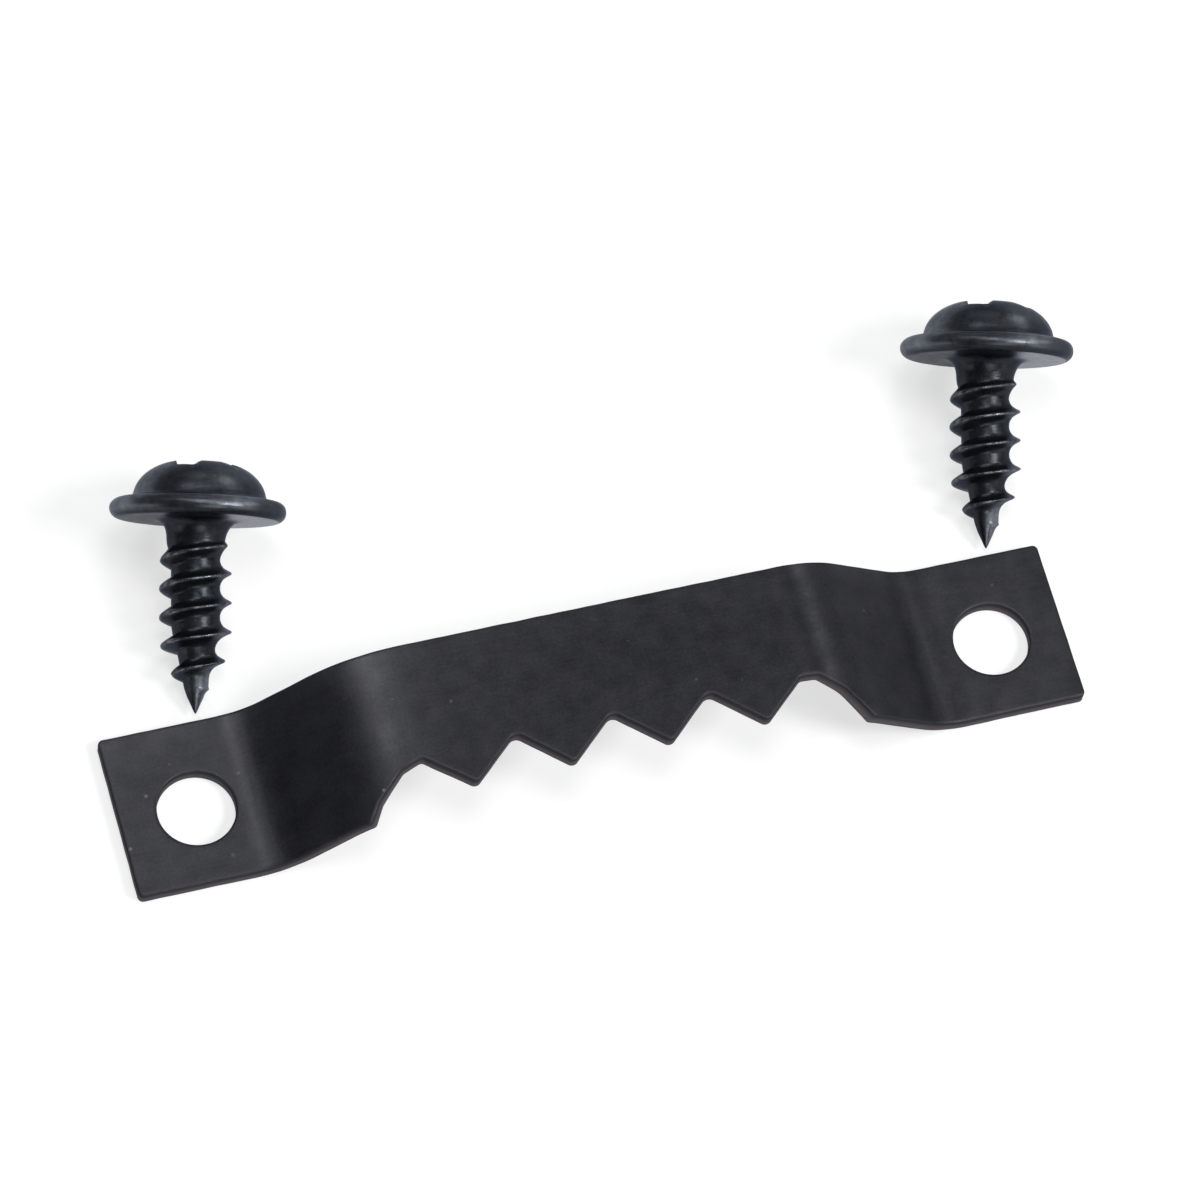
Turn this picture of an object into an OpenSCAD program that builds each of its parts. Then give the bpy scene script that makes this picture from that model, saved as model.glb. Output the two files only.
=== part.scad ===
// Sawtooth picture hanger with its two washer-head tapping screws.
//
// The hanger is one strip of sheet steel, punched flat (two screw holes and
// a row of V notches along one edge) and then pressed so that its middle
// stands clear of the frame. It lies on its two tabs, backs at z = 0, with
// the toothed edge towards -Y. The origin is midway between the two screw
// holes, on the plane of the tabs' backs. Each screw lies on the same
// surface, resting on the rim of its washer and on one thread crest, with
// its point just short of the plain edge of the strip and its axis in a
// vertical plane through its own hole.

/* [Strip] */
// Length of the strip, end to end
strip_l = 45; // [44:0.5:60]
// Width of the strip, plain edge to toothed edge
strip_w = 7.9; // [7.5:0.1:10]
// Thickness of the sheet
sheet_t = 0.7; // [0.5:0.1:1.2]
// Height of the raised middle above the tabs
rise = 3.6; // [2:0.1:4.5]
// Where the face of a tab and the face of its ramp would meet, from the centre
ramp_foot = 15.8; // [15:0.1:17]
// Where the face of a ramp and the raised face would meet, from the centre
ramp_head = 11; // [10.5:0.1:12]
// Radius of the bend at the foot of a ramp, on the front face
foot_r = 4.6; // [1:0.1:5]
// Radius of the bend at the head of a ramp, on the front face
head_r = 6.6; // [2:0.1:7]
// Radius of the strip's four corners
corner_r = 0.35; // [0.1:0.05:1]

/* [Screw holes] */
// Distance between the two holes
hole_spacing = 38; // [36:0.5:44]
// Diameter of each hole
hole_d = 3.6; // [3:0.1:4.2]
// Distance from the holes' centre line to the toothed edge
hole_to_edge = 3.65; // [3:0.05:4.5]

/* [Notches] */
// Distance from one notch to the next
notch_pitch = 4.57; // [4:0.01:4.7]
// How far the sharp apex of a notch lies below the holes' centre line
apex_drop = 1.1; // [0.8:0.05:1.5]
// How far the blunter apex of each end notch lies below that line
end_drop = 1.36; // [1.2:0.02:1.6]
// How far the sharp tip of a tooth lies below the holes' centre line
tip_drop = 3.12; // [2.5:0.02:3.4]
// Radius in the apex of each notch, where the nail sits
apex_r = 0.42; // [0.1:0.02:0.6]
// Radius on the tip of each tooth
tip_r = 0.34; // [0.1:0.02:0.5]

/* [Screws] */
// Length from the point to the underside of the washer
shank_l = 9; // [9:0.1:9.5]
// Diameter over the thread
thread_d = 3.32; // [3.2:0.02:3.5]
// Diameter of the core between the threads
core_d = 2.24; // [2:0.02:2.4]
// Thread pitch
pitch = 1.34; // [1.2:0.02:1.5]
// Diameter of the washer face
washer_d = 8.1; // [7.5:0.1:8.5]
// Radius of the washer's rounded rim
rim_r = 0.46; // [0.35:0.01:0.5]
// Diameter of the dome of the head
dome_d = 6.1; // [5.5:0.1:6.5]
// Height of the dome above the washer
dome_h = 1.66; // [1.4:0.02:1.9]
// Width of the wings of the cross recess
wing_w = 1; // [0.7:0.02:1.2]
// Span of the cross recess at the top of the head
wing_span = 4.4; // [3.6:0.1:4.6]
// Depth of the cross recess
recess_depth = 1.65; // [1.2:0.05:1.9]

/* [Rest] */
// Direction in which each screw lies, turned from +Y towards +X
lie_dir = 14.2; // [0:0.1:25]
// Distance on the surface from the centre of the hole to the screw's point
lie_dist = 4.88; // [4.8:0.02:6]

/* [Hidden] */

// ---- small helpers ----
function unit(p) = p / norm(p);
function turn(p, a) = [p[0] * cos(a) - p[1] * sin(a), p[0] * sin(a) + p[1] * cos(a)];
// Points that round the corner at v, between the lines to a and to b
function corner(a, v, b, r, n = 6) =
    let (ua = unit(a - v), ub = unit(b - v), h = acos(ua * ub) / 2,
         c = v + unit(ua + ub) * r / sin(h),
         p = v + ua * r / tan(h) - c, q = v + ub * r / tan(h) - c,
         s = sign(cross(p, q)))
    [for (i = [0:n]) c + turn(p, s * (180 - 2 * h) * i / n)];
function flipped(pts) = [for (i = [len(pts) - 1:-1:0]) [-pts[i][0], pts[i][1]]];

// ---- strip: side profile ----
ramp_a = atan2(rise, ramp_foot - ramp_head);
back_in = sheet_t * tan(ramp_a / 2);
half_l = strip_l / 2;
function half_profile(foot, head, lo, hi, rf, rh) = concat(
    [[-half_l, lo]],
    corner([-half_l, lo], [-foot, lo], [-head, hi], rf, 12),
    corner([-foot, lo], [-head, hi], [0, hi], rh, 12));
front_half = half_profile(ramp_foot, ramp_head, sheet_t, rise + sheet_t, foot_r, head_r);
back_half = half_profile(ramp_foot - back_in, ramp_head - back_in, 0, rise,
                         foot_r + sheet_t, head_r - sheet_t);
front_line = concat(front_half, flipped(front_half));
back_line = concat(back_half, flipped(back_half));
side_profile = concat(front_line, [for (i = [len(back_line) - 1:-1:0]) back_line[i]]);

// ---- strip: outline seen from above ----
edge_y = -hole_to_edge;
plain_y = strip_w - hole_to_edge;
// The notches are punched flat, so the outer flank of each end notch is
// drawn on the blank and is carried over the bend by arc length
mid_r = head_r - sheet_t / 2;
flat_half = ramp_head - back_in / 2 - mid_r * tan(ramp_a / 2);
function on_plan(s) = s <= flat_half ? s
    : flat_half + mid_r * sin(min(ramp_a, (s - flat_half) / mid_r * 180 / PI));
end_s = 2 * notch_pitch;
end_mid = end_drop + 1.06;
function end_pt(ds, drop) = [-on_plan(end_s + ds), -drop];
function apex(i) = [i * notch_pitch, -apex_drop];
function tip(i) = [i * notch_pitch, -tip_drop];
toothed_half = concat(
    corner([-half_l, 0], [-half_l, edge_y], [0, edge_y], corner_r),
    corner([-half_l, edge_y], end_pt(2.72, hole_to_edge), end_pt(1.8, end_mid), 0.15),
    corner(end_pt(2.72, hole_to_edge), end_pt(1.76, end_mid), end_pt(0.61, end_drop + 0.1), 1.6),
    corner(end_pt(1.76, end_mid), end_pt(0.61, end_drop + 0.1), end_pt(-0.19, end_drop), 0.4),
    corner(end_pt(0.61, end_drop + 0.1), end_pt(-0.19, end_drop), tip(-1.5), 0.3),
    corner(end_pt(-0.19, end_drop), tip(-1.5), apex(-1), tip_r),
    corner(tip(-1.5), apex(-1), tip(-0.5), apex_r),
    corner(apex(-1), tip(-0.5), apex(0), tip_r));
outline = concat(
    corner([0, plain_y], [-half_l, plain_y], [-half_l, 0], corner_r),
    toothed_half,
    corner(tip(-0.5), apex(0), tip(0.5), apex_r),
    flipped(toothed_half),
    corner([half_l, 0], [half_l, plain_y], [0, plain_y], corner_r));

// ---- screw: radii along the axis, from the point ----
core_r = core_d / 2;
thread_r = thread_d / 2;
neck_r = core_r + 0.19;
washer_r = washer_d / 2;
rim_s = shank_l + rim_r - 0.04;
rim_c = washer_r - rim_r;
dome_s = shank_l + 0.94;
dome_r = dome_d / 2;
shank_pts = [
    [0.02, 0], [0.19, 0.35], [0.37, 0.75], [0.51, 1.15], [0.6, 1.55],
    [0.71, 2.15], [0.84, 2.8], [core_r - 0.09, 3.5], [core_r, 4.1],
    [core_r, shank_l - 1.75], [neck_r, shank_l - 1.3], [neck_r + 0.04, shank_l - 0.95],
    [neck_r + 0.16, shank_l - 0.62], [neck_r + 0.36, shank_l - 0.3], [neck_r + 0.62, shank_l - 0.1]];
rim_pts = [for (a = [-90:15:75]) [rim_c + rim_r * cos(a), rim_s + rim_r * sin(a)]];
dome_pts = [for (a = [0:9:81])
    [dome_r * pow(cos(a), 0.84), dome_s + dome_h * pow(sin(a), 1.06)]];
head_profile = concat([[0, rim_s - rim_r]], rim_pts, dome_pts, [[0, dome_s + dome_h]]);
core_table = concat([[0, 0.02]], [for (p = shank_pts) [p[1], p[0]]], [[shank_l + 0.5, neck_r + 0.62]]);
crest_table = [[0, 0.02], [0.9, 0.4], [1.1, 0.64], [1.83, 1.13], [2.42, thread_r - 0.28],
    [3.1, thread_r - 0.03], [3.7, thread_r], [shank_l - 2.2, thread_r],
    [shank_l - 1.75, thread_r - 0.12], [shank_l - 1.3, neck_r + 0.12], [shank_l - 0.95, 0.02]];

// ---- screw: threaded shank ----
// One skin of rows that climb with the thread: six rows to a pitch, two on
// the crest, one on each flank and two in the root, each row starting one
// pitch higher after every turn
sides = 20;
crest_at_x = 3.75;   // a crest crosses the +X side here
row_off = [-0.05, 0.05, 0.2, 0.48, pitch - 0.48, pitch - 0.2];
row_share = [1, 1, 0.36, 0, 0, 0.36];
first_row = -15;
last_row = 6 * ceil((shank_l - crest_at_x) / pitch) + 3;
row_n = last_row - first_row + 1;
function row_s(row, i) = let (k = floor(row / 6), j = row - 6 * k)
    crest_at_x + k * pitch + row_off[j] + pitch * i / sides;
function row_r(row, i) = let (s = row_s(row, i), c = lookup(s, core_table),
                              e = max(0, lookup(s, crest_table) - c),
                              j = row - 6 * floor(row / 6))
    c + e * row_share[j];
shank_skin = concat(
    [for (row = [first_row:last_row], i = [0:sides - 1])
        let (r = row_r(row, i), a = 360 * i / sides) [r * cos(a), r * sin(a), row_s(row, i)]],
    [[0, 0, 0], [0, 0, shank_l + 0.6]]);
point_i = row_n * sides;
root_i = point_i + 1;
// Index of a skin point, with the column after the last one a pitch higher
function at(j, i) = i < sides ? j * sides + i : (j + 6) * sides;
shank_faces = concat(
    [for (j = [0:row_n - 2], i = [0:sides - 1]) if (i < sides - 1 || j + 7 < row_n)
        each [[at(j, i), at(j + 1, i), at(j, i + 1)], [at(j, i + 1), at(j + 1, i), at(j + 1, i + 1)]]],
    [for (i = [0:sides - 1]) [at(0, i), at(0, i + 1), point_i]],
    [for (j = [0:5]) [at(j + 1, 0), at(j, 0), point_i]],
    [for (i = [0:sides - 2]) [at(row_n - 1, i + 1), at(row_n - 1, i), root_i]],
    [for (j = [row_n - 7:row_n - 2]) [at(j, sides - 1), at(j + 1, sides - 1), root_i]],
    [[at(row_n - 1, 0), at(row_n - 7, sides - 1), root_i]]);

// ---- screw: how it lies ----
// The surface touches the round rim of the washer and the first large crest
// that crosses the underside of the thread
touch_s = crest_at_x - 0.75 * pitch;
touch_r = lookup(touch_s, crest_table);
touch_a = rim_c - touch_r;
touch_b = rim_s - touch_s;
lie_tilt = acos(-rim_r / norm([touch_a, touch_b])) - atan2(touch_b, touch_a);
point_z = (touch_r - (touch_s - 0.05) * tan(lie_tilt)) * cos(lie_tilt);

module strip_outline(h) {
    translate([0, 0, -1]) linear_extrude(h) polygon(outline);
}

module hanger_strip() {
    color([0.21, 0.21, 0.22]) difference() {
        intersection() {
            translate([0, 20, 0]) rotate([90, 0, 0]) linear_extrude(40) polygon(side_profile);
            strip_outline(rise + sheet_t + 2);
        }
        for (x = [-1, 1])
            translate([x * hole_spacing / 2, 0, -1]) cylinder(d = hole_d, h = sheet_t + 2, $fn = 64);
    }
}

module cross_recess() {
    top = dome_s + dome_h;
    r1 = wing_span / 2;
    for (a = [-27, 63]) rotate([90, 0, a])
        translate([0, 0, -wing_w / 2]) linear_extrude(wing_w)
            polygon([[-r1 - 0.1, top + 1], [-r1, top - 0.35], [-0.95, top - recess_depth + 0.15],
                     [-0.5, top - recess_depth], [0.5, top - recess_depth],
                     [0.95, top - recess_depth + 0.15], [r1, top - 0.35], [r1 + 0.1, top + 1]]);
    translate([0, 0, top - recess_depth]) cylinder(r1 = 0.7, r2 = 1.58, h = recess_depth + 1, $fn = 24);
}

module tapping_screw() {
    difference() {
        union() {
            rotate_extrude($fn = 48) polygon(head_profile);
            polyhedron(points = shank_skin, faces = shank_faces, convexity = 12);
        }
        cross_recess();
    }
}

module lying_screw(side) {
    color([0.2, 0.21, 0.25])
        translate([side * hole_spacing / 2, 0, 0]) rotate([0, 0, -lie_dir])
            translate([0, lie_dist, point_z]) rotate([lie_tilt - 90, 0, 0]) tapping_screw();
}

module left_screw() {
    lying_screw(-1);
}

module right_screw() {
    lying_screw(1);
}

hanger_strip();
left_screw();
right_screw();
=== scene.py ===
import math

import bmesh
import bpy
import numpy as np
from mathutils import Matrix, Vector, noise
from mathutils.geometry import delaunay_2d_cdt


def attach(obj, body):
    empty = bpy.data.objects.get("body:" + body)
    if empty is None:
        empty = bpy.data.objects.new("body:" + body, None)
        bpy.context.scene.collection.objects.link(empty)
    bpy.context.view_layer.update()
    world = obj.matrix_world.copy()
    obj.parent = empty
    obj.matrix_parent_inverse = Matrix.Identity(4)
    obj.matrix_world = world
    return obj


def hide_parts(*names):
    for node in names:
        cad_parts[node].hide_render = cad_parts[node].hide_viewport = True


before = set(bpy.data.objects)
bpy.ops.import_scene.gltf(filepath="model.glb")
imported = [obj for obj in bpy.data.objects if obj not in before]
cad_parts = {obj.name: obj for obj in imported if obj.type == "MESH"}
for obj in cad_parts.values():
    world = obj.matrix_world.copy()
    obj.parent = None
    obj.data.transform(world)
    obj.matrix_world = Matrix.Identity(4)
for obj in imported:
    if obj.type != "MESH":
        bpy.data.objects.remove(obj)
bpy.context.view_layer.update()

# Everything is worked out in millimetres in the CAD frame and scaled to metres at the end.
MM = 0.001


# ------------------------------------------------------------------ helpers
def new_object(name, verts, faces, attributes=None, at=None):
    """A mesh object from points in mm. attributes maps a name to one float per point."""
    mesh = bpy.data.meshes.new(name)
    mesh.from_pydata([tuple(v) for v in (np.asarray(verts) * MM).tolist()], [], faces)
    mesh.validate()
    for key, values in (attributes or {}).items():
        layer = mesh.attributes.new(key, "FLOAT", "POINT")
        layer.data.foreach_set("value", np.asarray(values, np.float32))
    mesh.polygons.foreach_set("use_smooth", [True] * len(mesh.polygons))
    obj = bpy.data.objects.new(name, mesh)
    bpy.context.scene.collection.objects.link(obj)
    if at is not None:
        mesh.transform(at)
    return obj


def table(pairs):
    """A lookup through (position, value) pairs with straight lines between them."""
    xs, ys = np.array(pairs, float).T
    return lambda s: np.interp(s, xs, ys)


def hash_noise(points, scale, seed=0.0):
    """Smooth noise in -1..1 at each point (mm)."""
    shift = Vector((seed * 3.7, -seed * 1.9, seed * 5.3))
    return np.array([noise.noise(Vector(p) * scale + shift) for p in np.asarray(points)])


# ------------------------------------------------------------------ the strip
SHEET = 0.7
RISE = 3.6
HALF_X = 22.5
EDGE, PLAIN = -3.67, 4.26
TOP = RISE + SHEET / 2
RAMP = math.atan2(RISE, 4.8)
BACK_IN = SHEET * math.tan(RAMP / 2)
HEAD_X = 11 - BACK_IN / 2
FOOT_X = 15.8 - BACK_IN / 2


class Side:
    """One half of the pressed strip: a head and a foot bend of their own radius, at the middle of the sheet."""
    def __init__(self, sign, head_r, foot_r):
        self.sign, self.head_r, self.foot_r = sign, head_r, foot_r
        self.flat = HEAD_X - head_r * math.tan(RAMP / 2)
        self.head = self.flat + head_r * RAMP
        self.ramp = (FOOT_X - HEAD_X) / math.cos(RAMP) - (head_r + foot_r) * math.tan(RAMP / 2)
        self.foot = self.head + self.ramp
        self.tab = self.foot + foot_r * RAMP
        self.tab_x = FOOT_X + foot_r * math.tan(RAMP / 2)
        self.end = self.tab + HALF_X - self.tab_x
        self.hole = self.end - 3.5

    def bend(self, d, n):
        u1 = np.clip((d - self.flat) / self.head_r, 0, RAMP)
        x = np.minimum(d, self.flat) + self.head_r * np.sin(u1)
        z = TOP - self.head_r * (1 - np.cos(u1))
        along = np.clip(d - self.head, 0, self.ramp)
        x, z = x + along * math.cos(RAMP), z - along * math.sin(RAMP)
        u2 = np.clip((d - self.foot) / self.foot_r, 0, RAMP)
        x = x + self.foot_r * (math.sin(RAMP) - np.sin(RAMP - u2))
        z = z - self.foot_r * (np.cos(RAMP - u2) - math.cos(RAMP))
        x = x + np.maximum(d - self.tab, 0)
        slope = u1 - u2
        return self.sign * (x + n * np.sin(slope)), z + n * np.cos(slope)


# the press left the bends of the two ends a little different
LEFT, RIGHT = Side(-1, 6.9, 4.1), Side(1, 4.7, 3.4)


def bend(s, n):
    """Blank coordinates (along the strip, out of its middle surface) to x and z."""
    xl, zl = LEFT.bend(np.abs(s), n)
    xr, zr = RIGHT.bend(np.abs(s), n)
    return np.where(s < 0, xl, xr), np.where(s < 0, zl, zr)


def rounded(corners, arc_step, line_step):
    """A closed outline through (x, y, radius) corners, its arcs and straights cut into short steps."""
    pts, count = [], len(corners)
    for i in range(count):
        v = np.array(corners[i][:2], float)
        a, b = (np.array(corners[j % count][:2], float) for j in (i - 1, i + 1))
        ua, ub = (a - v) / np.linalg.norm(a - v), (b - v) / np.linalg.norm(b - v)
        half = math.acos(np.clip(ua @ ub, -1, 1)) / 2
        r = corners[i][2]
        mid = (ua + ub) / np.linalg.norm(ua + ub)
        c = v + mid * r / math.sin(half)
        p, q = v + ua * r / math.tan(half), v + ub * r / math.tan(half)
        a0 = math.atan2(*(p - c)[::-1])
        turn = math.atan2(*(q - c)[::-1]) - a0
        turn = (turn + math.pi) % (2 * math.pi) - math.pi
        n = max(4, int(abs(turn) * r / arc_step))
        arc = [c + r * np.array([math.cos(a0 + turn * k / n), math.sin(a0 + turn * k / n)]) for k in range(n + 1)]
        if pts:
            gap = arc[0] - pts[-1]
            m = max(1, int(np.linalg.norm(gap) / line_step))
            pts += [pts[-1] + gap * k / m for k in range(1, m)]
        pts += arc
    gap = pts[0] - pts[-1]
    m = max(1, int(np.linalg.norm(gap) / line_step))
    pts += [pts[-1] + gap * k / m for k in range(1, m)]
    return np.array(pts)


def outward(loop):
    """Unit normals of a closed loop that runs with the metal on its left."""
    d = np.roll(loop, -1, 0) - np.roll(loop, 1, 0)
    d /= np.linalg.norm(d, axis=1)[:, None]
    return np.stack([d[:, 1], -d[:, 0]], 1)


def inside(points, loop):
    """Which points lie inside a closed loop."""
    x, y = points[:, 0], points[:, 1]
    hit = np.zeros(len(points), bool)
    for a, b in zip(loop, np.roll(loop, -1, 0)):
        if a[1] == b[1]:
            continue
        cut = (a[1] > y) != (b[1] > y)
        hit ^= cut & (x < (b[0] - a[0]) * (y - a[1]) / (b[1] - a[1]) + a[0])
    return hit


def strip_loops():
    pitch, apex, tip = 4.57, -1.1, -3.14
    lower = [(-LEFT.end, EDGE, 0.26), (-11.88, EDGE, 0.22), (-11.28, -2.84, 0.9), (-9.97, -1.69, 0.45), (-8.98, -1.38, 0.28)]
    for k in range(-2, 3):
        if abs(k) < 2:
            lower.append((k * pitch, apex, 0.42))
        if k < 2:
            lower.append(((k + 0.5) * pitch, tip, 0.32))
    lower += [(8.93, -1.33, 0.26), (9.72, -1.38, 0.34), (10.74, -2.2, 2.2), (11.88, EDGE - 0.04, 0.22), (15.6, EDGE - 0.05, 6.0),
              (RIGHT.end + 0.02, EDGE - 0.01, 0.26)]
    outline = rounded(lower + [(RIGHT.end + 0.03, PLAIN, 0.24), (-LEFT.end, PLAIN, 0.24)], 0.05, 0.12)
    # the punch leaves the cut a little uneven
    outline = outline + outward(outline) * (hash_noise(np.c_[outline, 0 * outline[:, 0]], 1.1, 4)[:, None] * 0.014 + 0.012)
    holes = []
    for hole_s, hole_y, hole_r in ((0.08 - LEFT.hole, 0.0, 1.80), (RIGHT.hole + 0.05, 0.03, 1.785)):
        a = np.linspace(0, -2 * np.pi, 110, endpoint=False)
        holes.append(np.stack([hole_s + hole_r * np.cos(a), hole_y + hole_r * np.sin(a)], 1))
    return [outline] + holes


# (inset from the cut, height out of the middle surface), from the rolled front edge round to the back
EDGE_PROFILE = [
    (0.200, 0.350), (0.140, 0.3480), (0.090, 0.341), (0.055, 0.328), (0.028, 0.308), (0.010, 0.280),
    (0.002, 0.245), (0.000, 0.190), (0.000, 0.110), (0.001, 0.035), (0.008, 0.000), (0.012, -0.070),
    (0.013, -0.150), (0.010, -0.230), (0.004, -0.290), (0.003, -0.318), (0.012, -0.338), (0.040, -0.348), (0.085, -0.350)]


# how strong each ring's painted highlight and chipping are: a little on the rolled edge, most along the burr
RIM_HIGHLIGHT_AND_CHIPS = {3: 0.12, 4: 0.3, 5: 0.3, 6: 0.12, 13: 0.4, 14: 0.7, 15: 0.8, 16: 0.8, 17: 0.5}


def build_strip():
    loops = strip_loops()
    verts, cut, rim, wall, faces, starts = [], [], [], [], [], []
    for loop in loops:
        normal = outward(loop)
        length = np.cumsum(np.linalg.norm(np.roll(loop, -1, 0) - loop, axis=1))
        rows = []
        for k, (inset, height) in enumerate(EDGE_PROFILE):
            rough = 0.0
            if 9 < k < 15:   # the torn part of the cut
                rough = 0.005 * hash_noise(np.stack([length * 5, np.full(len(loop), height * 8), 0 * length], 1), 1.0, 5)
            ring = loop - normal * (inset + rough)[:, None] if np.ndim(rough) else loop - normal * inset
            rows.append(len(verts))
            verts += [(p[0], p[1], height) for p in ring]
            cut += [min(1.0, max(0.0, (0.200 - inset) / 0.19)) if height > 0 else (1.0 if height > -0.345 else 0.0)] * len(loop)
            rim += [RIM_HIGHLIGHT_AND_CHIPS.get(k, 0.0)] * len(loop)
            wall += [0.0 if k > 17 else 0.6 if k == 17 else min(1.0, max(0.0, (0.26 - height) / 0.57))] * len(loop)
        starts.append((rows, len(loop)))
        for a, b in zip(rows, rows[1:]):
            for i in range(len(loop)):
                j = (i + 1) % len(loop)
                faces.append((a + i, b + i, b + j, a + j))
    for level, flip in ((0, False), (-1, True)):
        pts, edges, keep = [], [], []
        for rows, n in starts:
            at = len(pts)
            pts += [Vector(verts[rows[level] + i][:2]) for i in range(n)]
            edges += [(at + i, at + (i + 1) % n) for i in range(n)]
            keep += [rows[level] + i for i in range(n)]
        rings = np.array([p[:] for p in pts])
        grid = np.array([(s, y) for s in np.arange(-LEFT.end + 0.3, RIGHT.end, 0.3) for y in np.arange(EDGE + 0.2, PLAIN, 0.3)])
        bounds = []
        at = 0
        for rows, n in starts:
            bounds.append(rings[at:at + n])
            at += n
        ok = inside(grid, bounds[0]) & ~inside(grid, bounds[1]) & ~inside(grid, bounds[2])
        grid = grid[ok]
        far = np.array([np.min(np.sum((rings - g) ** 2, 1)) > 0.17 ** 2 for g in grid])
        grid = grid[far]
        height = EDGE_PROFILE[level][1]
        for g in grid:
            pts.append(Vector(g))
            keep.append(len(verts))
            verts.append((g[0], g[1], height))
            cut.append(0.0)
            rim.append(0.0)
            wall.append(0.0)
        out = delaunay_2d_cdt(pts, edges, [], 0, 1e-6)
        new_pts, tris, origin = out[0], out[2], out[3]
        centres = np.array([sum((new_pts[i] for i in t), Vector((0, 0))) / 3 for t in tris])
        good = inside(centres, bounds[0]) & ~inside(centres, bounds[1]) & ~inside(centres, bounds[2])
        for t, g in zip(tris, good):
            if g:
                f = [keep[origin[i][0]] for i in t]
                faces.append(f[::-1] if flip else f)
    flat = np.array(verts)
    # a sheet that has been through a press is never quite flat
    wave = 0.010 * hash_noise(np.c_[flat[:, 0] * 0.20, flat[:, 1] * 0.30, 0 * flat[:, 0]], 1.0, 2) \
        + 0.0022 * hash_noise(np.c_[flat[:, 0], flat[:, 1], 0 * flat[:, 0]], 1.3, 7)
    x, z = bend(flat[:, 0], flat[:, 2] + wave)
    placed = np.stack([x, flat[:, 1], z], 1)
    placed[:, 2] = np.maximum(placed[:, 2], 0.0)
    return new_object("sawtooth_strip", placed, faces,
                      {"cut": cut, "rim": rim, "wall": wall, "blank_s": flat[:, 0], "blank_y": flat[:, 1]})


# ------------------------------------------------------------------ the screws
PITCH = 1.34
CREST_AT_X = 3.75
COLUMNS = 96
CORE = table([(0.0, 0.0), (0.05, 0.045), (0.19, 0.115), (0.35, 0.19), (0.75, 0.37), (1.15, 0.51), (1.55, 0.6), (2.15, 0.71),
              (2.8, 0.84), (3.5, 1.03), (4.1, 1.12), (7.05, 1.12), (7.4, 1.2), (7.75, 1.31), (8.1, 1.36)])
CREST = table([(0, 0), (0.86, 0.4), (1.02, 0.52), (1.12, 0.63), (1.25, 0.66), (1.5, 0.86), (1.83, 1.15), (2.42, 1.37), (3.1, 1.62),
               (3.7, 1.66), (6.9, 1.66), (7.2, 1.58), (7.68, 1.5), (7.95, 1.34), (8.06, 1.2)])
# height of the ridge (of 1) against the distance from its crest, in mm: keen, and worn round
KEEN = table([(0.0, 1.0), (0.03, 0.993), (0.06, 0.95), (0.125, 0.70), (0.20, 0.45), (0.27, 0.29), (0.40, 0.115), (0.55, 0.025), (0.67, 0.0)])
FLAT_ROOT = table([(0.0, 1.0), (0.035, 0.99), (0.065, 0.93), (0.13, 0.64), (0.20, 0.36), (0.27, 0.17), (0.36, 0.05), (0.45, 0.01), (0.55, 0.0), (0.67, 0.0)])
WORN_UP = table([(0.0, 1.0), (0.09, 0.94), (0.18, 0.76), (0.27, 0.52), (0.34, 0.33), (0.41, 0.10), (0.46, 0.0), (0.67, 0.0)])
WORN_LOW = table([(0.0, 1.0), (0.08, 0.99), (0.14, 0.90), (0.21, 0.72), (0.28, 0.50), (0.35, 0.26), (0.42, 0.04), (0.47, 0.0), (0.67, 0.0)])
SHELF = table([(0.0, 0.5), (2.0, 0.5), (3.3, 0.58), (4.8, 1.0), (9.0, 1.08)])
OFFSETS = [-0.60, -0.52, -0.45, -0.39, -0.33, -0.27, -0.215, -0.165, -0.12, -0.08, -0.048, -0.02,
           0.02, 0.048, 0.08, 0.12, 0.165, 0.215, 0.27, 0.33, 0.39, 0.45, 0.52, 0.60]
# the head and neck, as (radius, distance from the point)
HEAD = [(1.36, 8.14), (1.375, 8.22), (1.40, 8.32), (1.43, 8.42), (1.47, 8.52), (1.525, 8.62), (1.60, 8.71), (1.70, 8.80),
        (1.82, 8.865), (1.95, 8.895), (2.10, 8.908), (2.35, 8.912), (2.75, 8.912), (3.15, 8.911), (3.45, 8.910)] + \
       [(3.59 + 0.46 * math.cos(math.radians(a)), 9.37 + 0.46 * math.sin(math.radians(a))) for a in range(-84, 85, 7)] + \
       [(3.54, 9.828), (3.46, 9.830), (3.38, 9.835), (3.30, 9.845), (3.23, 9.862), (3.17, 9.888), (3.12, 9.925), (3.085, 9.972), (3.06, 10.03)]
RECESS_TURN = -27.0
DOME_S, DOME_R, DOME_H = 9.90, 3.05, 1.79
HEAD += [(DOME_R * math.cos(math.radians(a)) ** 0.81, DOME_S + DOME_H * math.sin(math.radians(a)) ** 1.04)
         for a in np.arange(8, 88.5, 2.2)]


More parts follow.
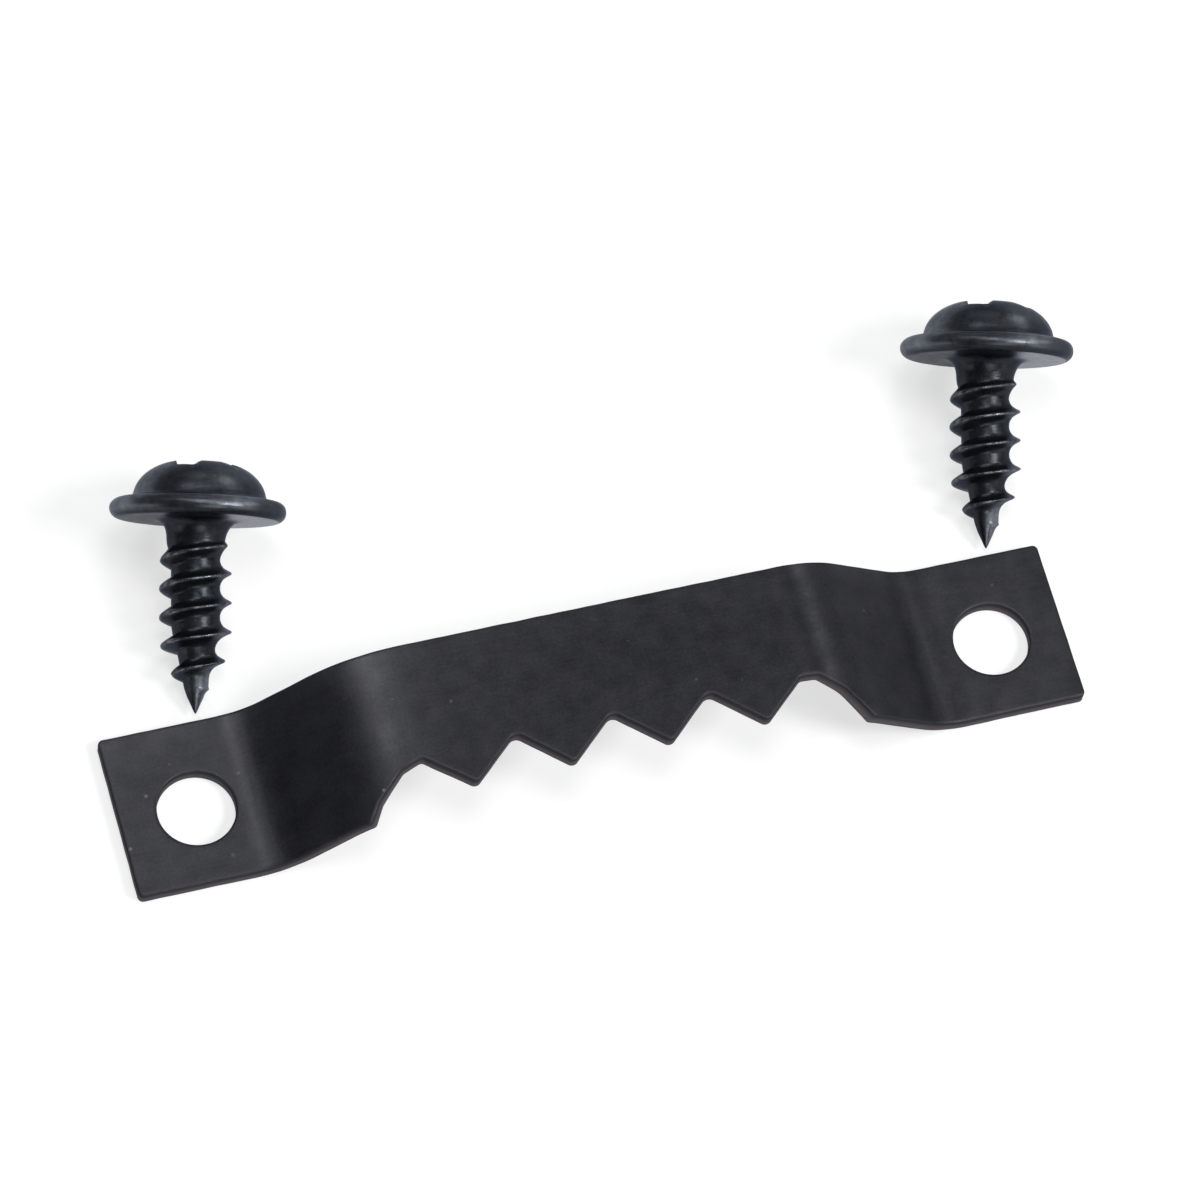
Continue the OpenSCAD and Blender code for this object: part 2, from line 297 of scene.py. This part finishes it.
def screw_skin():
    """One closed skin from the point to the top of the dome. The rows of the threaded part climb with the thread."""
    per = len(OFFSETS)
    s_low, s_high = 0.06, 8.08
    verts, cols = [], []

    def add(r, a, s):
        verts.append((r * math.cos(a), r * math.sin(a), s))
        return len(verts) - 1

    for i in range(COLUMNS):
        a = 2 * math.pi * i / COLUMNS
        worn = float(np.clip((-math.cos(a) - 0.1) / 0.75, 0, 1))
        worn = worn * worn * (3 - 2 * worn)
        col = [(("low", 0), add(float(CORE(s_low)), a, s_low))]
        for row in range(-4 * per, 5 * per):
            k, j = divmod(row, per)
            s = CREST_AT_X + k * PITCH + OFFSETS[j] + PITCH * i / COLUMNS
            if not s_low + 0.03 < s < s_high - 0.02:
                continue
            core = float(CORE(s))
            top = float(CREST(s))
            d = abs(OFFSETS[j])
            soft = float(WORN_UP(d)) if OFFSETS[j] > 0 else float(WORN_LOW(d / float(SHELF(s))))
            flat = float(np.clip((-math.sin(a) - 0.35) / 0.4, 0, 1))
            share = (1 - worn) * ((1 - flat) * float(KEEN(d)) + flat * float(FLAT_ROOT(d))) + worn * soft
            col.append((("row", row), add(core + max(0.0, top - core) * share, a, s)))
        for k, (r, s) in enumerate(HEAD):
            col.append((("ring", k), add(r, a, s)))
        cols.append(col)
    faces = []
    for i in range(COLUMNS):
        left = cols[i]
        if i < COLUMNS - 1:
            right = cols[i + 1]
        else:   # the first column again, one pitch higher
            right = [((k[0], k[1] - per) if k[0] == "row" else k, v) for k, v in cols[0]]
        left_keys, right_keys = {k for k, _ in left}, {k for k, _ in right}
        a = b = 0
        while a < len(left) - 1 or b < len(right) - 1:
            next_l = left[a + 1][0] if a < len(left) - 1 else None
            next_r = right[b + 1][0] if b < len(right) - 1 else None
            if next_l is not None and next_l == next_r:
                faces.append((left[a][1], right[b][1], right[b + 1][1], left[a + 1][1]))
                a, b = a + 1, b + 1
            elif next_l is not None and next_l not in right_keys:
                faces.append((left[a][1], right[b][1], left[a + 1][1]))
                a += 1
            else:
                faces.append((left[a][1], right[b][1], right[b + 1][1]))
                b += 1
    point, crown = len(verts), len(verts) + 1
    verts += [(0, 0, 0), (0, 0, DOME_S + DOME_H)]
    for i in range(COLUMNS):
        j = (i + 1) % COLUMNS
        faces.append((point, cols[j][0][1], cols[i][0][1]))
        faces.append((crown, cols[i][-1][1], cols[j][-1][1]))
    return np.array(verts), faces


def recess_cutter():
    """The cross recess as one closed cutter: four tapered wings round a conical core."""
    top, depth = DOME_S + DOME_H, 1.65
    bm = bmesh.new()
    # height, reach of the wings, half their width, radius of the core between them
    levels = [(top + 0.8, 2.62, 0.72, 1.85), (top + 0.02, 2.30, 0.66, 1.52), (top - 0.30, 2.15, 0.62, 1.36),
              (top - 0.8, 1.70, 0.55, 1.10), (top - 1.2, 1.26, 0.46, 0.88), (top - depth + 0.1, 0.92, 0.40, 0.68)]
    rings = []
    for z, reach, half, core in levels:
        ring = []
        open_a = math.asin(half / core)
        for q in range(4):
            base = math.radians(RECESS_TURN + 90 * q)
            along = core * math.cos(open_a)
            shape = [(along, -half), (reach - 0.14, -half), (reach - 0.04, -half + 0.05), (reach, -half + 0.17), (reach, half - 0.17),
                     (reach - 0.04, half - 0.05), (reach - 0.14, half), (along, half)]
            for f in (0.33, 0.67):   # the round core between this wing and the next
                a = open_a + (math.pi / 2 - 2 * open_a) * f
                shape.append((core * math.cos(a), core * math.sin(a)))
            ring += [(math.cos(base) * u - math.sin(base) * v, math.sin(base) * u + math.cos(base) * v, z) for u, v in shape]
        rings.append([bm.verts.new(p) for p in ring])
    n = len(rings[0])
    for a, b in zip(rings, rings[1:]):
        for i in range(n):
            j = (i + 1) % n
            bm.faces.new((a[i], b[i], b[j], a[j]))
    bm.faces.new(rings[0])
    nadir = bm.verts.new((0, 0, top - depth - 0.12))
    for i in range(n):
        bm.faces.new((rings[-1][i], nadir, rings[-1][(i + 1) % n]))
    bmesh.ops.recalc_face_normals(bm, faces=bm.faces)
    mesh = bpy.data.meshes.new("recess")
    bm.to_mesh(mesh)
    bm.free()
    cutter = bpy.data.objects.new("recess", mesh)
    bpy.context.scene.collection.objects.link(cutter)
    return cutter


def screw_marks(co):
    """Thread crests and recess lips (part wear, part painted highlight), where it is deep (painted shade in the
    recess), painted highlights and reflections on rim, dome, point and seat, and its own coordinates.
    """
    r, s = np.hypot(co[:, 0], co[:, 1]), co[:, 2]
    core, top = CORE(s), np.maximum(CREST(s), CORE(s))
    ridge = np.where(s < 8.0, np.clip((r - core) / np.maximum(top - core, 0.12), 0, 1), 0)
    edge = np.where(s < 8.0, np.clip((ridge - 0.84) / 0.14, 0, 1), 0)
    dome = DOME_S + DOME_H * np.clip(1 - (np.minimum(r, DOME_R) / DOME_R) ** 2.38, 0, 1) ** 0.53
    hollow = np.where((s > 9.9) & (r < 2.6), dome - s, 0)
    deep = np.clip((hollow - 0.06) / 0.3, 0, 1)
    lip = (np.abs(hollow) < 0.03) & (s > 10.0) & (r < 2.3)
    turn = math.radians(-RECESS_TURN)
    u = co[:, 0] * math.cos(turn) - co[:, 1] * math.sin(turn)
    v = co[:, 0] * math.sin(turn) + co[:, 1] * math.cos(turn)
    near = np.minimum(np.abs(np.abs(u) - 0.66), np.abs(np.abs(v) - 0.66)) < 0.05
    core_lip = np.abs(r - 1.52) < 0.06
    edge = np.maximum(edge, np.where(lip & (near | core_lip), 0.8, 0.0))
    # painted highlights and painted reflections: parts of the rim, the dome's flank, the point's right side and one
    # side of the seat
    phi = np.degrees(np.arctan2(co[:, 1], co[:, 0]))

    def about(angle, width):
        d = (phi - angle + 180) % 360 - 180
        return np.exp(-(d / width) ** 2)

    washer = np.clip((s - 8.95) / 0.25, 0, 1) * (r > 3.0) * np.clip((10.0 - s) / 0.2, 0, 1)
    painted_sheen = washer * (1.1 * about(-172, 40) + 1.0 * about(-68, 22) * np.clip((s - 9.06) / 0.42, 0, 1) + 0.35 * about(40, 60))
    on_dome = (s > 9.95) & (r < 3.2)
    painted_sheen = painted_sheen + on_dome * (0.95 * np.exp(-((co[:, 0] - 0.85) / 0.85) ** 2 - ((s - 10.62) / 0.42) ** 2) * (co[:, 1] < 0)
                           + 0.85 * about(-168, 36) + 0.25 * about(20, 50))
    painted_sheen = painted_sheen + 0.95 * np.clip((2.2 - s) / 0.8, 0, 1) * np.clip(0.55 + co[:, 0] / np.maximum(r, 0.05), 0, 1.5)
    # painted reflection: the seat lighter on one side
    seat = ((s < 8.93) & (r > 1.75)) * np.clip((co[:, 0] - 0.9) / 0.6, 0, 1) * np.clip((r - 1.75) / 0.4, 0, 1) * (s > 8.8)
    return {"edge": edge, "deep": deep, "painted_sheen": painted_sheen * (1 - deep), "seat": seat,
            "turn_x": co[:, 0] * 1.0, "turn_y": co[:, 1] * 1.0, "along": s}


def build_screw_mesh():
    verts, faces = screw_skin()
    skin = new_object("screw_skin", verts / MM, faces)
    cutter = recess_cutter()
    mod = skin.modifiers.new("recess", "BOOLEAN")
    mod.operation, mod.solver, mod.object = "DIFFERENCE", "EXACT", cutter
    bpy.context.view_layer.update()
    done = bpy.data.meshes.new_from_object(skin.evaluated_get(bpy.context.evaluated_depsgraph_get()))
    bpy.data.objects.remove(skin)
    bpy.data.objects.remove(cutter)
    co = np.zeros(len(done.vertices) * 3)
    done.vertices.foreach_get("co", co)
    co = co.reshape(-1, 3)
    before = co.copy()
    # rolled and plated metal is never quite even
    r = np.hypot(co[:, 0], co[:, 1])
    lump = 0.006 * hash_noise(co, 1.4, 1) + 0.003 * hash_noise(co, 4.0, 3)
    scale = np.where(r > 0.15, 1 + lump / np.maximum(r, 0.15), 1)
    co[:, 0] *= scale
    co[:, 1] *= scale
    # the head sits a little askew on the shank
    w = np.clip((co[:, 2] - 7.5) / 1.3, 0, 1)
    w = w * w * (3 - 2 * w)
    a = math.radians(0.95) * w - math.radians(1.0) * (1 - w)
    x, s = co[:, 0].copy(), co[:, 2].copy()
    off = np.clip((s - 9.5) / 0.5, 0, 1) * 0.06
    centre = -0.0175 * np.minimum(s, 7.8) * (1 - w) + (-0.055 + off + (s - 9.4) * math.sin(math.radians(0.95))) * w
    co[:, 0] = centre + x * np.cos(a) + 0.035
    co[:, 1] -= 0.036
    co[:, 2] = s - x * np.sin(a) - 0.045 - 0.055 * w
    for key, values in screw_marks(before).items():
        layer = done.attributes.new(key, "FLOAT", "POINT")
        layer.data.foreach_set("value", values.astype(np.float32))
    done.vertices.foreach_set("co", co.ravel())
    done.update()
    return done


LIE_DIR, LIE_DIST, LIE_TILT, POINT_Z = 14.2, 4.88, 21.1605, 0.4255


def lying(side):
    """Where a screw lies: its point on the surface beyond its hole, its washer's rim on the surface too."""
    return (Matrix.Translation((side * 19.0, 0, 0)) @ Matrix.Rotation(math.radians(-LIE_DIR), 4, "Z")
            @ Matrix.Translation((0, LIE_DIST, POINT_Z)) @ Matrix.Rotation(math.radians(LIE_TILT - 90), 4, "X"))


def build_screws():
    base = build_screw_mesh()
    made = []
    for name, side in (("left_tapping_screw", -1), ("right_tapping_screw", 1)):
        mesh = base.copy()
        mesh.name = name
        mesh.transform(lying(side))
        mesh.transform(Matrix.Scale(MM, 4))
        obj = bpy.data.objects.new(name, mesh)
        bpy.context.scene.collection.objects.link(obj)
        made.append(obj)
    return made


# ------------------------------------------------------------------ materials
class Nodes:
    """Short hand for building a node tree."""
    def __init__(self, name):
        self.mat = bpy.data.materials.new(name)
        self.mat.use_nodes = True
        self.tree = self.mat.node_tree
        self.shader = self.tree.nodes["Principled BSDF"]

    def node(self, kind, **values):
        n = self.tree.nodes.new(kind)
        for key, value in values.items():
            setattr(n, key, value)
        return n

    def link(self, a, b):
        self.tree.links.new(a, b)

    def feed(self, socket, value):
        if hasattr(value, "is_linked"):
            self.link(value, socket)
        else:
            socket.default_value = value

    def math(self, op, a, b=0.5, clamp=False):
        n = self.node("ShaderNodeMath", operation=op, use_clamp=clamp)
        self.feed(n.inputs[0], a)
        self.feed(n.inputs[1], b)
        return n.outputs[0]

    def attribute(self, name):
        return self.node("ShaderNodeAttribute", attribute_name=name).outputs["Fac"]

    def vector(self, x, y, z=0.0):
        n = self.node("ShaderNodeCombineXYZ")
        for i, v in enumerate((x, y, z)):
            self.feed(n.inputs[i], v)
        return n.outputs[0]

    def noise(self, vector, scale, detail=3.0, rough=0.55, stretch=None):
        if stretch:
            m = self.node("ShaderNodeVectorMath", operation="MULTIPLY")
            self.link(vector, m.inputs[0])
            m.inputs[1].default_value = stretch
            vector = m.outputs[0]
        n = self.node("ShaderNodeTexNoise")
        self.link(vector, n.inputs["Vector"])
        n.inputs["Scale"].default_value = scale
        n.inputs["Detail"].default_value = detail
        n.inputs["Roughness"].default_value = rough
        return n.outputs["Fac"]

    def remap(self, value, low, high, to_low, to_high, smooth=False):
        n = self.node("ShaderNodeMapRange", interpolation_type="SMOOTHSTEP" if smooth else "LINEAR")
        self.feed(n.inputs["Value"], value)
        for key, v in (("From Min", low), ("From Max", high), ("To Min", to_low), ("To Max", to_high)):
            n.inputs[key].default_value = v
        return n.outputs["Result"]

    def bell(self, value, centre, width, height):
        """A smooth hump of a given height about a centre."""
        d = self.math("DIVIDE", self.math("SUBTRACT", value, centre), width)
        e = self.math("EXPONENT", self.math("MULTIPLY", self.math("MULTIPLY", d, d), -1.0))
        return self.math("MULTIPLY", e, height)

    def total(self, *parts):
        out = parts[0]
        for p in parts[1:]:
            out = self.math("ADD", out, p)
        return out

    def blend(self, fac, a, b):
        n = self.node("ShaderNodeMix", data_type="RGBA")
        self.feed(n.inputs[0], fac)
        self.feed(n.inputs[6], a if hasattr(a, "is_linked") else (*a, 1))
        self.feed(n.inputs[7], b if hasattr(b, "is_linked") else (*b, 1))
        return n.outputs[2]

    def scaled(self, colour, factor):
        n = self.node("ShaderNodeVectorMath", operation="SCALE")
        self.link(colour, n.inputs[0])
        self.feed(n.inputs["Scale"], factor)
        return n.outputs[0]

    def bump(self, height, distance, strength=1.0):
        n = self.node("ShaderNodeBump")
        n.inputs["Strength"].default_value = strength
        n.inputs["Distance"].default_value = distance
        self.link(height, n.inputs["Height"])
        self.link(n.outputs[0], self.shader.inputs["Normal"])


def strip_material():
    """Blackened sheet steel: matte charcoal with rolling lines, mottling and a few bare specks."""
    m = Nodes("blackened_sheet")
    s, y = m.attribute("blank_s"), m.attribute("blank_y")
    cut, rim, wall = m.attribute("cut"), m.attribute("rim"), m.attribute("wall")
    place = m.node("ShaderNodeTexCoord").outputs["Object"]
    grow = m.node("ShaderNodeVectorMath", operation="SCALE")
    m.link(place, grow.inputs[0])
    grow.inputs["Scale"].default_value = 1000.0
    solid = grow.outputs[0]
    flat = m.vector(s, y)
    lines = m.noise(flat, 1.0, 3.0, 0.6, (0.55, 11.0, 1.0))
    cross = m.noise(flat, 1.0, 2.0, 0.6, (9.0, 0.8, 1.0))
    grain = m.noise(solid, 7.0, 4.0, 0.65)
    mottle = m.noise(flat, 0.8, 5.0, 0.62)
    cloud = m.noise(flat, 0.17, 2.0, 0.5)
    # a noise that mottles the painted highlight bands over the two head bends
    patch = m.math("MULTIPLY", m.remap(m.noise(flat, 1.15, 5.0, 0.65), 0.3, 0.7, 0.62, 1.32), m.remap(m.noise(flat, 3.7, 3.0, 0.6), 0.3, 0.7, 0.86, 1.14))
    # painted light: the tone also rises towards the plain edge, most on the right ramp
    upper = m.remap(y, 1.0, 4.1, 0.0, 1.0)
    reach = m.total(m.remap(s, -11.0, -4.0, 0.009, 0.0, True), m.remap(s, 16.3, 17.0, 0.007, 0.0, True),
                    m.math("MULTIPLY", m.remap(s, 11.5, 12.5, 0.0, 0.023, True), m.remap(s, 15.6, 16.4, 1.0, 0.0, True)))
    plain_edge_painted_light = m.math("MULTIPLY", m.math("MULTIPLY", upper, upper), reach)
    sink = m.total(m.math("MULTIPLY", m.remap(y, -1.5, 1.5, -0.0055, 0.0, True), m.math("MULTIPLY", m.remap(s, 12.0, 12.8, 0.0, 1.0, True), m.remap(s, 15.0, 16.4, 1.0, 0.0, True))),
                   m.math("MULTIPLY", m.remap(y, -3.3, -2.6, -0.0050, 0.0, True), m.remap(s, -17.4, -17.0, 1.0, 0.0, True)))
    bend_light_fade = m.math("MULTIPLY", m.remap(s, -10.6, -9.8, 0.0, 1.0, True), m.remap(s, -9.8, -2.0, 0.0085, 0.0))
    # painted light and shade on a 0.0285 base: lighter tabs and right ramp, painted highlight bands over both head
    # bends fading into the middle, painted shade at the foot bends, darker towards the lower edge
    tone_and_painted_light = m.total(m.remap(s, -17.55, -17.0, 0.0187, 0.0, True), m.remap(s, 16.35, 16.9, 0.0, 0.0160, True),
                   m.math("MULTIPLY", m.math("MULTIPLY", m.bell(s, -10.15, 0.88, 0.013), patch), m.remap(y, -3.0, 1.6, 0.45, 1.06, True)),
                   m.math("MULTIPLY", m.bell(s, 10.28, 0.42, 0.038), patch), bend_light_fade,
                   m.math("MULTIPLY", m.remap(s, 11.2, 12.1, 0.0, 0.0155, True), m.remap(s, 15.0, 15.9, 1.0, 0.35, True)), m.bell(s, 15.75, 0.45, -0.002),
                   plain_edge_painted_light, sink, m.bell(s, -9.78, 0.42, -0.0105), m.bell(s, -8.3, 0.7, 0.0045), m.bell(s, 9.35, 0.42, 0.0100), m.bell(s, -16.4, 0.4, -0.0035),
                   m.bell(s, -13.9, 2.2, 0.0050), m.bell(s, -1.0, 7.5, 0.0035), m.bell(s, 7.0, 2.6, 0.0035), 0.0285)
    # and its fine unevenness
    spread = m.total(m.remap(lines, 0.25, 0.75, -0.0022, 0.0022), m.remap(cross, 0.25, 0.75, -0.0010, 0.0010),
                     m.remap(grain, 0.2, 0.8, -0.0080, 0.0080), m.remap(mottle, 0.25, 0.75, -0.0046, 0.0046),
                     m.remap(cloud, 0.3, 0.7, -0.0015, 0.0015))
    tone_and_painted_light = m.math("MAXIMUM", m.math("ADD", tone_and_painted_light, spread), 0.004)
    tint = m.blend(m.remap(m.noise(flat, 0.6, 3.0), 0.35, 0.65, 0.0, 1.0), (0.955, 1.0, 1.08), (1.01, 0.975, 1.10))
    # bare specks where the coat has chipped: few on the face, more along the cut
    chips = m.noise(solid, 3.1, 2.0, 0.5)
    chip_face = m.remap(chips, 0.765, 0.80, 0.0, 1.0, True)
    chip_edge = m.math("MULTIPLY", m.remap(m.noise(solid, 2.2, 3.0, 0.6), 0.56, 0.68, 0.0, 1.0, True), rim)
    # painted highlight: a light line along the burr and a little on the rolled edge
    worn = m.math("MULTIPLY", m.remap(m.noise(solid, 0.9, 4.0, 0.7), 0.34, 0.66, 0.12, 0.85), rim)
    jitter = m.vector(m.math("ADD", s, m.remap(grain, 0.0, 1.0, -0.10, 0.10)), m.math("ADD", y, m.remap(mottle, 0.0, 1.0, -0.10, 0.10)))
    nicks = 0.0
    for at, size, strength in (((-21.95, 1.09), 0.10, 0.8), ((-23.28, -1.30), 0.10, 0.9), ((-10.93, -2.40), 0.085, 1.5), ((-17.57, 1.25), 0.09, 0.45),
                               ((-20.55, 2.40), 0.08, 0.4), ((-6.98, 1.02), 0.085, 0.5), ((-18.84, -2.63), 0.10, 0.35), ((13.3, 1.9), 0.08, 0.5),
                               ((4.2, -0.4), 0.07, 0.45), ((20.9, 2.7), 0.08, 0.5)):
        far = m.node("ShaderNodeVectorMath", operation="DISTANCE")
        m.link(jitter, far.inputs[0])
        far.inputs[1].default_value = (*at, 0.0)
        spot = m.remap(far.outputs["Value"], size * 0.35, size * 1.25, strength, 0.0, True)
        nicks = m.math("ADD", spot, nicks)
    # painted highlight: lighter spots in the band over the left head bend
    bend_highlight_spots = m.math("ADD", m.math("MULTIPLY", m.bell(s, -9.95, 0.45, 0.009), m.bell(y, 2.85, 0.45, 1.0)),
                    m.math("MULTIPLY", m.bell(s, -10.13, 0.50, 0.012), m.bell(y, 0.4, 0.42, 1.0)))
    coat = m.scaled(tint, m.math("ADD", tone_and_painted_light, m.math("MULTIPLY", bend_highlight_spots, patch)))
    colour = m.blend(m.math("MULTIPLY", chip_face, 0.6), coat, (0.075, 0.075, 0.075))
    colour = m.blend(m.math("MINIMUM", m.math("MULTIPLY", nicks, 0.8), 1.0), colour, (0.16, 0.155, 0.155))
    colour = m.blend(worn, colour, (0.150, 0.130, 0.138))
    colour = m.blend(m.math("MULTIPLY", chip_edge, 0.75), colour, (0.20, 0.188, 0.195))
    # the cut: painted shade under the rolled edge, lighter on the wall and a painted highlight line towards the burr;
    # the plain edge is left as the face is
    outer_painted_highlight = m.math("MULTIPLY", m.remap(wall, 0.25, 0.90, 0.0, 1.0), m.remap(m.noise(solid, 1.3, 4.0, 0.65), 0.34, 0.66, 0.65, 1.0))
    cut_tone = m.blend(m.remap(wall, 0.0, 0.30, 0.0, 1.0), (0.0265, 0.0250, 0.0275), (0.064, 0.0600, 0.0640))
    cut_tone = m.blend(outer_painted_highlight, cut_tone, (0.140, 0.124, 0.130))
    cut_part = m.math("MULTIPLY", m.math("MULTIPLY", cut, 0.9), m.remap(y, 3.95, 4.08, 1.0, 0.15))
    cut_shade_and_highlight = m.blend(cut_part, colour, cut_tone)
    colour = m.blend(rim, cut_shade_and_highlight, colour)
    m.link(colour, m.shader.inputs["Base Color"])
    rough = m.math("ADD", m.remap(mottle, 0.25, 0.75, 0.33, 0.45), m.remap(lines, 0.2, 0.8, -0.03, 0.03))
    rough = m.math("ADD", rough, m.math("MULTIPLY", cut, 0.16))
    m.link(m.math("MINIMUM", rough, 0.8), m.shader.inputs["Roughness"])
    m.shader.inputs["Specular IOR Level"].default_value = 0.30
    m.shader.inputs["Metallic"].default_value = 0.8
    m.shader.inputs["Specular Tint"].default_value = (0.34, 0.345, 0.38, 1.0)
    # rolling lines, the orange skin of the coat and the drag lines of the punch on the cut
    drag = m.noise(m.vector(m.math("ADD", s, y), m.math("SUBTRACT", s, y)), 1.0, 2.0, 0.6, (9.0, 9.0, 1.0))
    height = m.math("ADD", m.math("MULTIPLY", lines, 0.5), m.math("MULTIPLY", grain, 0.55))
    height = m.math("ADD", height, m.math("MULTIPLY", mottle, 0.8))
    height = m.math("ADD", height, m.math("MULTIPLY", m.math("MULTIPLY", drag, cut), 1.6))
    height = m.math("SUBTRACT", height, m.math("MULTIPLY", chip_face, 0.6))
    m.bump(height, 0.000006, 0.7)
    return m.mat


def screw_material():
    """Blued steel: blue-black with mottled gloss; thread crests and recess lips lighter, part wear and part painted
    highlight; painted highlights and reflections on rim, dome, point and seat; painted shade in the recess.
    """
    m = Nodes("blued_steel")
    edge, deep = m.attribute("edge"), m.attribute("deep")
    around = m.vector(m.attribute("turn_x"), m.attribute("turn_y"), m.attribute("along"))
    grain = m.noise(around, 6.0, 4.0, 0.65)
    mottle = m.noise(around, 1.5, 5.0, 0.6)
    rings = m.noise(around, 1.0, 3.0, 0.6, (0.8, 0.8, 14.0))
    level = m.math("ADD", m.remap(mottle, 0.25, 0.75, 0.62, 1.38), m.remap(grain, 0.2, 0.8, -0.16, 0.16))
    level = m.math("ADD", level, m.remap(rings, 0.25, 0.75, -0.10, 0.10))
    hue = m.blend(m.remap(m.noise(around, 0.8, 3.0), 0.35, 0.65, 0.0, 1.0), (0.0205, 0.0240, 0.0285), (0.0235, 0.0240, 0.0275))
    colour = m.scaled(hue, level)
    # thread crests and recess lips lighter: part wear, part painted highlight
    crest_wear_and_highlight = m.math("MULTIPLY", edge, m.remap(m.noise(around, 2.2, 4.0, 0.65), 0.36, 0.66, 0.10, 1.0))
    # painted highlight and reflection on rim, dome and point
    painted_sheen_mottled = m.math("MULTIPLY", m.attribute("painted_sheen"), m.remap(m.noise(around, 1.7, 4.0, 0.6), 0.32, 0.66, 0.55, 1.2))
    colour = m.blend(painted_sheen_mottled, colour, (0.15, 0.163, 0.182))
    seat_painted_reflection = m.math("MULTIPLY", m.attribute("seat"), m.remap(m.noise(around, 2.6, 4.0, 0.65), 0.32, 0.68, 0.72, 1.0))
    colour = m.blend(m.math("MULTIPLY", seat_painted_reflection, 0.8), colour, (0.49, 0.49, 0.52))
    colour = m.blend(m.math("MULTIPLY", crest_wear_and_highlight, 0.85), colour, (0.17, 0.18, 0.20))
    # painted shade in the recess
    colour = m.blend(m.math("MULTIPLY", deep, 0.6), colour, (0.010, 0.010, 0.014))
    m.link(colour, m.shader.inputs["Base Color"])
    rough = m.math("ADD", m.remap(mottle, 0.25, 0.75, 0.27, 0.39), m.remap(grain, 0.2, 0.8, -0.05, 0.05))
    rough = m.math("SUBTRACT", rough, m.math("MULTIPLY", crest_wear_and_highlight, 0.12))
    rough = m.math("ADD", rough, m.math("MULTIPLY", painted_sheen_mottled, 0.05))
    rough = m.math("ADD", rough, m.math("MULTIPLY", deep, 0.15))
    m.link(rough, m.shader.inputs["Roughness"])
    m.shader.inputs["Metallic"].default_value = 0.8
    m.shader.inputs["Specular IOR Level"].default_value = 0.4
    m.shader.inputs["Specular Tint"].default_value = (0.40, 0.425, 0.48, 1.0)
    height = m.math("ADD", m.math("MULTIPLY", grain, 0.6), m.math("MULTIPLY", mottle, 1.2))
    height = m.math("ADD", height, m.math("MULTIPLY", rings, 0.7))
    m.bump(height, 0.000010, 0.8)
    return m.mat


def simple_material(name, colour, rough):
    mat = bpy.data.materials.new(name)
    mat.use_nodes = True
    p = mat.node_tree.nodes["Principled BSDF"]
    p.inputs["Base Color"].default_value = (*colour, 1)
    p.inputs["Roughness"].default_value = rough
    return mat


strip = build_strip()
left_screw, right_screw = build_screws()
strip.data.materials.append(strip_material())
finish = screw_material()
for screw in (left_screw, right_screw):
    for p in screw.data.polygons:
        p.use_smooth = True
    screw.data.materials.clear()
    screw.data.materials.append(finish)

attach(strip, "hanger")
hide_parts("hanger_strip")
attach(left_screw, "screw_left")
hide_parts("left_screw")
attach(right_screw, "screw_right")
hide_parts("right_screw")


# ------------------------------------------------------------------ floor, light, camera
def build_floor():
    bm = bmesh.new()
    n, size = 24, 600.0
    grid = [[bm.verts.new(((i / n - 0.5) * size * MM, (j / n - 0.5) * size * MM, -0.00002)) for i in range(n + 1)] for j in range(n + 1)]
    for j in range(n):
        for i in range(n):
            bm.faces.new((grid[j][i], grid[j][i + 1], grid[j + 1][i + 1], grid[j + 1][i]))
    mesh = bpy.data.meshes.new("floor")
    bm.to_mesh(mesh)
    bm.free()
    floor = bpy.data.objects.new("floor", mesh)
    bpy.context.scene.collection.objects.link(floor)
    mat = simple_material("floor_white", (0.34, 0.34, 0.34), 0.9)
    p = mat.node_tree.nodes["Principled BSDF"]
    p.inputs["Emission Color"].default_value = (1, 1, 1, 1)
    p.inputs["Emission Strength"].default_value = 0.64
    mesh.materials.append(mat)
    return floor


def area_light(name, direction, distance, size, power, colour=(1, 1, 1)):
    data = bpy.data.lights.new(name, "AREA")
    data.shape = "DISK"
    data.size = size
    data.energy = power
    data.color = colour
    obj = bpy.data.objects.new(name, data)
    d = Vector(direction).normalized()
    obj.location = d * distance
    obj.rotation_mode = "QUATERNION"
    obj.rotation_quaternion = d.to_track_quat("Z", "Y")
    bpy.context.scene.collection.objects.link(obj)
    return obj


build_floor()
for name, direction, size, power in (
        ("key", (0.54, -0.39, 0.75), 0.16, 1.56),
        ("top", (0.0, 0.0, 1.0), 0.20, 0.82),
        ("front", (0.0, -0.85, 0.5), 0.25, 0.65),
        ("right", (0.87, 0.0, 0.5), 0.20, 0.32),
        ("top_back", (-0.26, 0.40, 0.88), 0.16, 0.35),
        ("low_left", (-0.95, -0.25, 0.1), 0.20, 0.26),
        ("low_right", (0.7, -0.7, 0.15), 0.20, 0.19),
        ("back", (0.1, 0.85, 0.5), 0.25, 0.17),
        ("right_back", (0.75, 0.5, 0.45), 0.20, 0.12)):
    area_light(name, direction, 0.5, size, power)

world = bpy.data.worlds.new("studio")
world.use_nodes = True
world.node_tree.nodes["Background"].inputs["Color"].default_value = (0.86, 0.92, 1.08, 1)
world.node_tree.nodes["Background"].inputs["Strength"].default_value = 0.14
bpy.context.scene.world = world

camera_data = bpy.data.cameras.new("camera")
camera_data.sensor_width = 36.0
camera_data.lens = 7562.32 / 1200 * 36.0
camera_data.clip_start = 0.01
camera_data.clip_end = 10.0
camera = bpy.data.objects.new("camera", camera_data)
right = Vector((0.958655, -0.266985, 0.098487))
up = Vector((0.199719, 0.877768, 0.435472))
back = -Vector((0.202713, 0.397797, -0.894799))
camera.matrix_world = Matrix((
    (right.x, up.x, back.x, -68.934 * MM),
    (right.y, up.y, back.y, -132.805 * MM),
    (right.z, up.z, back.z, 312.944 * MM),
    (0, 0, 0, 1)))
bpy.context.scene.collection.objects.link(camera)
bpy.context.scene.camera = camera
bpy.context.scene.view_settings.view_transform = "Standard"
bpy.context.scene.view_settings.look = "None"
